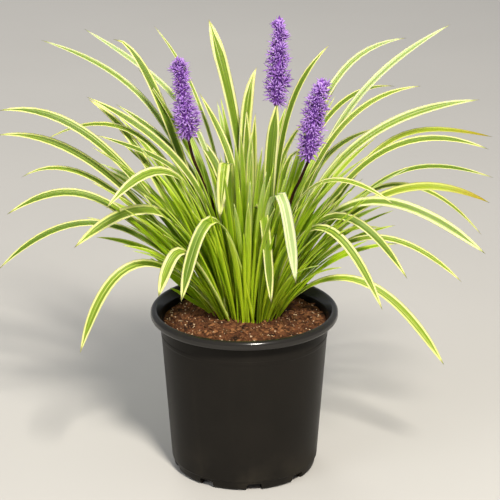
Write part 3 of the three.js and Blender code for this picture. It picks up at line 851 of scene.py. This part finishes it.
def grow_leaf(body, spec, tuft_bearing, draw, steps=LEAF_STEPS):
    spine = Spine(spec, tuft_bearing)
    across = heading(spec["bearing"] + 90)
    tilt = spec["turn"] * math.cos(math.radians(spec["bearing"]))
    sway, phase = draw.uniform(-LEAF_SWAY, LEAF_SWAY) * spine.length, draw.uniform(0, SWAY_WAVE)
    pick = draw.random()
    if spec["pick"] is not None:
        pick = spec["pick"]
    rings, alongs = [], []
    for i in range(-1, steps):
        share = max(0, i) / steps
        along = spine.along(share)
        side = turned(across, along, math.radians(tilt * lerp(spec["first"], 1, share)))
        face = np.cross(along, side)
        drift = sway * (math.sin(SWAY_WAVE * share + phase) - math.sin(phase)) * (1 - share)
        middle = spine.at(share) + across * drift - along * (SUNK if i < 0 else 0)
        half = half_width(spec, share)
        fold = math.radians(lerp(*LEAF_FOLD, smooth(0, FOLD_END, share)))
        ring = []
        for k, u in enumerate(SECTION):
            lift = half * math.sin(fold) * abs(u) ** KEEL_POWER
            if k >= len(UPPER):
                lift = lift - LEAF_THICK * (1 - EDGE_THIN * abs(u))
            ring.append(middle + side * (half * u * math.cos(fold * abs(u))) + face * lift)
        rings.append(ring)
        alongs.append(share)
    is_under = [0] * len(UPPER) + [1] * len(LOWER)
    marks = np.append(np.repeat(alongs, len(SECTION)), 1)
    body.skin(
        np.array(rings)[:, ::-1],
        spine.at(1),
        across=np.append(np.tile(SECTION[::-1], len(rings)), 0),
        along=marks,
        far=marks * spine.length / FAR_UNIT,
        under=np.append(np.tile(is_under[::-1], len(rings)), 0),
        pick=pick,
        young=spec["young"],
        age=spec["age"],
        pale=spec["pale"],
    )


def grow_tuft(index, finish):
    name, bearing, fill, leaves = TUFTS[index]
    draw = random.Random(index + TUFT_SEED)
    body = Body("across", "along", "far", "pick", "young", "age", "under", "pale")
    for spec in leaves + filling(bearing, fill):
        grow_leaf(body, spec, bearing, draw)
    for i in range(BASE_LEAVES):
        spec = base_leaf(bearing, fill, (i + 0.5) / BASE_LEAVES, draw)
        if clear_of_spikes(spec, bearing):
            grow_leaf(body, spec, bearing, draw, BASE_STEPS)
    if name == SHOOT_TUFT:
        for i in range(SHOOT_LEAVES):
            grow_leaf(body, shoot_leaf(bearing, i / (SHOOT_LEAVES - 1), draw), bearing, draw)
    return body.make("leaves_" + name, finish, "leaf", "tuft_" + name)


# ---- Flowers ----
def between(a, b, c, d, t):
    """A point of the smooth line from b to c. a comes before them and d after."""
    start = 2 * b + (c - a) * t
    return 0.5 * (start + (2 * a - 5 * b + 4 * c - d) * t**2 + (3 * b - 3 * c + d - a) * t**3)


class Route:
    """A smooth line through points, read by its share of length."""

    def __init__(self, points):
        points = [np.array(p, float) for p in points]
        ends = [2 * points[0] - points[1], *points, 2 * points[-1] - points[-2]]
        line = [
            between(a, b, c, d, i / ROUTE_STEPS)
            for a, b, c, d in zip(ends, ends[1:], ends[2:], ends[3:])
            for i in range(ROUTE_STEPS)
        ]
        self.line = np.array([*line, points[-1]])
        self.lengths = lengths_along(self.line)
        self.length = self.lengths[-1]

    def at(self, share):
        far = share * self.length
        return np.array([np.interp(far, self.lengths, self.line[:, k]) for k in range(3)])

    def along(self, share):
        return unit(self.at(min(1, share + ROUTE_REACH)) - self.at(max(0, share - ROUTE_REACH)))


def around(along):
    """Two directions square to along and to each other."""
    side = unit(np.cross((0, 1, 0), along))
    return side, np.cross(along, side)


def ring_round(middle, radius, side, other, count):
    """Evenly spaced points of the circle that side and other span."""
    turns = np.arange(count) * 2 * math.pi / count
    return [middle + radius * (side * math.cos(t) + other * math.sin(t)) for t in turns]


def grow_stem(spike, finish):
    route = Route(spike["stem"])
    body = Body("along", "across")
    shares = np.arange(STEM_STEPS + 1) / STEM_STEPS
    rings = []
    for share in shares:
        radius = STEM_RADIUS * (lerp(*STEM_TAPER, share) + STEM_BUMP * math.sin(share * STEM_BUMPS))
        rings.append(ring_round(route.at(share), radius, *around(route.along(share)), STEM_SIDES))
    body.skin(
        rings,
        route.at(1) + route.along(1) * STEM_POINT,
        along=np.append(np.repeat(shares, STEM_SIDES), 1),
        across=np.append(np.tile(np.arange(STEM_SIDES) / STEM_SIDES, len(rings)), 0),
    )
    return body.make("flower_stem_" + spike["name"], finish, "flower_stem", "stem_" + spike["name"])


def petal(body, foot, way, across, length, width, pick, pale=0.0):
    """A narrow tepal: keeled below, widest past its middle and pointed."""
    up = np.cross(way, across)
    rings = []
    for share, wide, lift in TEPAL_RINGS:
        middle = foot + way * (length * share) + up * (length * lift)
        half = width * wide / 2
        above, below = up * half * TEPAL_ABOVE, up * half * TEPAL_BELOW
        rings.append([middle + across * half, middle + above, middle - across * half, middle - below])
    tip = foot + way * length - up * (length * TEPAL_DROOP)
    marks = np.append(np.repeat(TEPAL_MARKS, 4), 1)
    body.skin(np.array(rings)[:, ::-1], tip, along=marks, pick=pick, pale=pale)


def floret(body, foot, out, size, opening, draw):
    """Six tepals round a short throat. opening is the angle they spread to, in degrees."""
    side, other = around(out)
    first, pick = draw.uniform(0, FIRST_TURN), draw.random()
    for i in range(TEPALS):
        turn = first + i * 2 * math.pi / TEPALS
        radial = side * math.cos(turn) + other * math.sin(turn)
        angle = math.radians(opening + draw.uniform(-TEPAL_UNLIKE, TEPAL_UNLIKE))
        way = unit(out * math.cos(angle) + radial * math.sin(angle))
        across = unit(np.cross(out, radial))
        length = size * draw.uniform(*TEPAL_LONG)
        petal(body, foot + radial * THROAT, way, across, length, TEPAL_WIDTH, pick)
    if opening > ANTHERS_FROM:
        petal(body, foot, out, side, size * ANTHER_SHARE, ANTHER_WIDTH, pick, ANTHER_PALE)


def bud(body, foot, out, size, draw):
    rings = [
        ring_round(foot + out * (size * share), size * BUD_GIRTH * wide, *around(out), BUD_SIDES)
        for share, wide in BUD_RINGS
    ]
    marks = np.append(np.repeat(BUD_MARKS, BUD_SIDES), 1)
    body.skin(rings, foot + out * size, along=marks, pick=draw.random())


def grow_spike(spike, finish, seed):
    draw = random.Random(seed)
    route = Route([spike["stem"][-1], spike["middle"], spike["tip"]])
    places = np.linspace(0, 1, len(spike["reach"]))
    body = Body("along", "pick", "pale")
    # The core: a dark violet tube among the florets' feet, painted shade deep inside the spike.
    core = []
    for i in range(CORE_STEPS):
        share = i / CORE_STEPS
        radius = max(CORE_LEAST, CORE_SHARE * np.interp(share, places, spike["reach"]))
        radius = radius * (CORE_FOOT if i == 0 else 1)
        core.append(ring_round(route.at(share), radius, *around(route.along(share)), CORE_SIDES))
    body.skin(core, route.at(1), along=0.0, pick=CORE_SHADE)
    for row in range(SPIKE_ROWS):
        for i in range(SPIKE_ROUND):
            share = lerp(*SPIKE_SPAN, (row + draw.uniform(*ROW_UNLIKE)) / SPIKE_ROWS)
            if share > THIN_FROM and i % THIN_EVERY == THIN_EVERY - 1:
                continue
            along = route.along(share)
            side, other = around(along)
            place = i + 0.5 * (row % 2) + draw.uniform(-PLACE_UNLIKE, PLACE_UNLIKE)
            turn = 2 * math.pi * place / SPIKE_ROUND
            radial = side * math.cos(turn) + other * math.sin(turn)
            lift = math.radians(lerp(*FLORET_LIFT, share) + draw.uniform(-LIFT_UNLIKE, LIFT_UNLIKE))
            out = unit(radial * math.cos(lift) + along * math.sin(lift))
            reach = np.interp(share, places, spike["reach"]) * draw.uniform(*REACH_UNLIKE)
            if share > BUDS_FROM or draw.random() < BUD_CHANCE:
                size = draw.uniform(*BUD_SIZE)
                foot = route.at(share) + out * max(BUD_NEAREST, reach * BUD_REACH - size)
                if share > TOP_BUDS_FROM:
                    foot = foot - along * (size * BUD_SINK)
                bud(body, foot, out, size, draw)
            else:
                size = lerp(*FLORET_SIZE, share) * draw.uniform(*FLORET_UNLIKE)
                slant = reach / max(STEEPEST, math.cos(lift))
                foot = route.at(share) + out * max(FLORET_NEAREST, slant - size * FLORET_SINK)
                floret(body, foot, out, size, draw.uniform(*FLORET_OPENING), draw)
    return body.make("florets_" + spike["name"], finish, "floret", "spike_" + spike["name"])


# ---- Soil ----
def wall_radius(z):
    return FOOT_RADIUS + (TOP_RADIUS - FOOT_RADIUS) * (z - CORNER) / (BEAD_FOOT - CORNER)


def wave(a, b, long, bend, other):
    """A wave along a whose crests are bent along b."""
    return math.sin(a / long + bend * math.sin(b / other))


def soil_height(x, y):
    edge = min(1.0, math.hypot(x, y) / (TOP_RADIUS - WALL))
    lumps = wave(x, y, *LONG_WAVE) + wave(y, x, *SHORT_WAVE)
    return SOIL_EDGE + SOIL_MOUND * (1 - edge * edge) + LUMP * lumps * (1 - edge**6)


def crumbled(x, y):
    """The soil's surface with its crumb."""
    spot = Vector((x, y, 0))
    coarse = COARSE_CRUMB[1] * noise.fractal(spot / COARSE_CRUMB[0], *CRUMB_NOISE)
    return soil_height(x, y) + coarse + FINE_CRUMB[1] * noise.noise(spot / FINE_CRUMB[0])


# A lump is an icosahedron before it is pulled out of shape.
LUMP_CORNERS = [(0, 0, 1)] + [
    (LUMP_OUT * math.cos(t + s), LUMP_OUT * math.sin(t + s), z)
    for s, z in ((0, LUMP_UP), (math.pi / 5, -LUMP_UP))
    for t in np.arange(5) * 2 * math.pi / 5
] + [(0, 0, -1)]
LUMP_FACES = (
    [(0, 1 + i, 1 + (i + 1) % 5) for i in range(5)]
    + [(1 + i, 6 + i, 1 + (i + 1) % 5) for i in range(5)]
    + [(6 + i, 6 + (i + 1) % 5, 1 + (i + 1) % 5) for i in range(5)]
    + [(11, 6 + (i + 1) % 5, 6 + i) for i in range(5)]
)


def scatter(body, draw, count, sizes, flat, pick, pale):
    """Lumps sunk nearly half their height in the soil. pick is the range of their shade."""
    corners = np.array(LUMP_CORNERS)
    for _ in range(count):
        distance, turn = SCATTER_RADIUS * math.sqrt(draw.random()), draw.uniform(0, 2 * math.pi)
        x, y = distance * math.cos(turn), distance * math.sin(turn)
        size = draw.uniform(*sizes) * draw.uniform(*LUMP_LONG)
        broad, high = size * draw.uniform(*LUMP_BROAD), size * flat * draw.uniform(*LUMP_HIGH)
        shape = corners * [size, broad, high] * [[draw.uniform(*LUMP_UNLIKE)] for _ in corners]
        for axis, most in LUMP_TILTS:
            angle = draw.uniform(-most, most)
            shape = np.array([turned(p, np.array(axis, float), angle) for p in shape])
        place = [x, y, crumbled(x, y) + size * flat * SCATTER_RISE]
        body.add(shape + place, LUMP_FACES, pick=draw.uniform(*pick), pale=pale)


def level_ring(radius, z, count):
    turns = [2 * math.pi * j / count for j in range(count)]
    return [(radius * math.cos(t), radius * math.sin(t), z) for t in turns]


def turned_faces(rows, count, flip=False):
    """Faces over rings of points with one point more before the first ring and after the last."""
    last, end = 1 + (rows - 1) * count, 1 + rows * count
    nexts = [(j, (j + 1) % count) for j in range(count)]
    faces = [(0, 1 + k, 1 + j) if flip else (0, 1 + j, 1 + k) for j, k in nexts]
    for i in range(rows - 1):
        a, b = 1 + i * count, 1 + (i + 1) * count
        for j, k in nexts:
            faces.append((a + j, a + k, b + k, b + j) if flip else (a + j, b + j, b + k, a + k))
    return faces + [(last + j, last + k, end) if flip else (last + k, last + j, end) for j, k in nexts]


def fill_pot(finish):
    body = Body("pick", "pale")
    edge = wall_radius(SOIL_EDGE) - WALL - GAP
    points = [(0, 0, crumbled(0, 0))]
    for i in range(1, SOIL_RINGS + 1):
        radius = edge * i / SOIL_RINGS
        for j in range(SOIL_SECTORS):
            turn = 2 * math.pi * (j + 0.5 * (i % 2)) / SOIL_SECTORS
            x, y = radius * math.cos(turn), radius * math.sin(turn)
            points.append((x, y, crumbled(x, y)))
    points += level_ring(wall_radius(CORNER) - WALL - GAP, CORNER, SOIL_SECTORS)
    points += level_ring(FOOT_RADIUS - FLOOR_INSET - GAP, FLOOR_TOP + GAP, SOIL_SECTORS)
    points.append((0, 0, FLOOR_TOP + GAP))
    body.add(points, turned_faces(SOIL_RINGS + 2, SOIL_SECTORS))
    draw = random.Random(SOIL_SEED)
    for lumps in SCATTER:
        scatter(body, draw, *lumps)
    return body.make("potting_soil", finish, "potting_soil", "soil")


# ---- Pot ----
def rounded(corners):
    """A line of (radius, height, rounding) corners with each rounded off by an arc."""
    line = []
    for i, (radius, z, rounding) in enumerate(corners):
        here = np.array([radius, z], float)
        if not rounding:
            line.append(here)
            continue
        before = np.array(corners[i - 1][:2], float) - here
        after = np.array(corners[i + 1][:2], float) - here
        most = ARC_MOST * min(np.linalg.norm(before), np.linalg.norm(after))
        cut = min(rounding, most)
        start, end = here + unit(before) * cut, here + unit(after) * cut
        for k in range(ARC_STEPS + 1):
            t = k / ARC_STEPS
            line.append(start * (1 - t) ** 2 + 2 * here * t * (1 - t) + end * t * t)
    return line


# The pot's outline as (radius, height, rounding), from the middle of its base, up the wall and back in
POT_CORNERS = [
    (0, 0, 0),
    (PAD_RADIUS, 0, 0.6),
    (PAD_RADIUS + 2, RECESS, 0.6),
    (FOOT_RADIUS - 11, RECESS, 0.8),
    (FOOT_RADIUS - 9, 0, 0.6),
    (FOOT_RADIUS - 4.5, 0, 1.6),
    (FOOT_RADIUS - 2.2, 2.5, 1.6),
    (FOOT_RADIUS - 1, STEP_HEIGHT, 0.4),
    (FOOT_RADIUS - 0.2, STEP_HEIGHT + 0.8, 0.4),
    (FOOT_RADIUS, CORNER, 1.0),
    (wall_radius(BAND[0] - BAND_EDGE), BAND[0] - BAND_EDGE, 0.2),
    (wall_radius(BAND[0] - BAND_EDGE) + BAND_RISE, BAND[0], 0.2),
    (wall_radius(BAND[1]) + BAND_RISE, BAND[1], 0.2),
    (wall_radius(BAND[1] + BAND_EDGE), BAND[1] + BAND_EDGE, 0.2),
    (TOP_RADIUS - 0.1, BEAD_FOOT - 1.2, 0.8),
    (TOP_RADIUS + 0.6, BEAD_FOOT, 0.6),
    (RIM_RADIUS - 1, BEAD_FOOT, 0.8),
    (RIM_RADIUS, BEAD_FOOT + 1.5, 1.2),
    (RIM_RADIUS, POT_HEIGHT - 2.4, 2.2),
    (RIM_RADIUS - 2.2, POT_HEIGHT, 2.2),
    (RIM_RADIUS - 5, POT_HEIGHT, 2.2),
    (TOP_RADIUS - WALL, BEAD_FOOT, 2.2),
    (FOOT_RADIUS - WALL, CORNER, 2.5),
    (FOOT_RADIUS - FLOOR_INSET, FLOOR_TOP, 2.0),
    (0, FLOOR_TOP, 0),
]


def mesh_of(name, points, faces):
    mesh = bpy.data.meshes.new(name)
    mesh.from_pydata((np.array(points, float) * MM).tolist(), [], faces)
    return mesh


def turn_pot(finish):
    line = rounded(POT_CORNERS)
    points = [(0, 0, line[0][1])]
    for radius, z in line[1:-1]:
        points += level_ring(radius, z, POT_SIDES)
    points.append((0, 0, line[-1][1]))
    mesh = mesh_of("nursery_pot", points, turned_faces(len(line) - 2, POT_SIDES, flip=True))
    piece = set_piece(mesh, "nursery_pot", finish, "pot_plastic", "pot")
    cut_drains(piece)
    return piece


def cut_drains(piece):
    """Notches the drain holes out of the corner between the pot's wall and floor."""
    points, faces = [], []
    box = ((0, 1, 3, 2), (4, 6, 7, 5), (0, 4, 5, 1), (2, 3, 7, 6), (0, 2, 6, 4), (1, 5, 7, 3))
    for i in range(DRAINS):
        turn = FIRST_DRAIN + 360 / DRAINS * i
        out, side = heading(turn), heading(turn + 90)
        start = len(points)
        for r in (DRAIN_INNER, DRAIN_OUTER):
            for w in (-DRAIN_WIDTH / 2, DRAIN_WIDTH / 2):
                for z in (-DRAIN_UNDER, DRAIN_HEIGHT):
                    points.append(out * r + side * w + np.array([0, 0, z]))
        faces += [tuple(start + k for k in face) for face in box]
    cutter = bpy.data.objects.new("drain_cutter", mesh_of("drain_cutter", points, faces))
    bpy.context.scene.collection.objects.link(cutter)
    edit = bmesh.new()
    edit.from_mesh(cutter.data)
    top_edges = [e for e in edit.edges if min(v.co.z for v in e.verts) > 0]
    bmesh.ops.bevel(edit, geom=top_edges, offset=DRAIN_ROUNDING * MM, segments=3, affect="EDGES")
    bmesh.ops.recalc_face_normals(edit, faces=edit.faces)
    edit.to_mesh(cutter.data)
    edit.free()
    cut = piece.modifiers.new("drains", "BOOLEAN")
    cut.operation, cut.object, cut.solver = "DIFFERENCE", cutter, "EXACT"
    bpy.context.view_layer.update()
    ready = piece.evaluated_get(bpy.context.evaluated_depsgraph_get())
    mesh = bpy.data.meshes.new_from_object(ready)
    piece.modifiers.clear()
    piece.data = mesh
    bpy.data.objects.remove(cutter)
    mesh.shade_smooth()
    mesh.set_sharp_from_angle(angle=math.radians(SHARP_ANGLE))


# ---- Stage ----
def softbox(name, place, size, power, colour):
    """A round lamp aimed at the clump's foot. Only the key light shows in the gloss."""
    light = bpy.data.lights.new(name, "AREA")
    light.shape, light.size, light.energy, light.color = "DISK", size, power, colour
    lamp = bpy.data.objects.new(name, light)
    lamp.location = place
    aim = LIGHT_AIM - Vector(place)
    lamp.rotation_euler = aim.to_track_quat("-Z", "Y").to_euler()
    lamp.visible_glossy = name == "key"
    bpy.context.scene.collection.objects.link(lamp)


def stage():
    mesh = bpy.data.meshes.new("floor")
    corners = [(x * FLOOR_HALF, y * FLOOR_HALF, 0) for x, y in ((-1, -1), (1, -1), (1, 1), (-1, 1))]
    mesh.from_pydata(corners, [], [(0, 1, 2, 3)])
    mesh.materials.append(floor_finish())
    floor = bpy.data.objects.new("floor", mesh)
    bpy.context.scene.collection.objects.link(floor)
    for box in SOFTBOXES:
        softbox(*box)
    world = bpy.data.worlds.new("studio")
    bpy.context.scene.world = world
    world.use_nodes = True
    sky = world.node_tree.nodes["Background"]
    sky.inputs["Color"].default_value = SKY_COLOUR
    sky.inputs["Strength"].default_value = SKY_STRENGTH
    bpy.context.scene.view_settings.view_transform = "Standard"


def camera():
    data = bpy.data.cameras.new("camera")
    data.lens, data.sensor_width = CAMERA_LENS, CAMERA_SENSOR
    data.clip_start, data.clip_end = CAMERA_CLIP
    view = bpy.data.objects.new("camera", data)
    tilt = math.radians(CAMERA_ELEVATION)
    back = Vector((0, -math.cos(tilt), math.sin(tilt)))
    view.location = CAMERA_TARGET + back * CAMERA_DISTANCE
    view.rotation_euler = (math.pi / 2 - tilt, 0, 0)
    bpy.context.scene.collection.objects.link(view)
    bpy.context.scene.camera = view


camera()
stage()
turn_pot(pot_finish())
fill_pot(soil_finish())
LEAF_FINISH, STEM_FINISH, FLORET_FINISH = leaf_finish(), stem_finish(), floret_finish()
for index in range(len(TUFTS)):
    grow_tuft(index, LEAF_FINISH)
for index, spike in enumerate(SPIKES):
    grow_stem(spike, STEM_FINISH)
    grow_spike(spike, FLORET_FINISH, SPIKE_SEED + index)
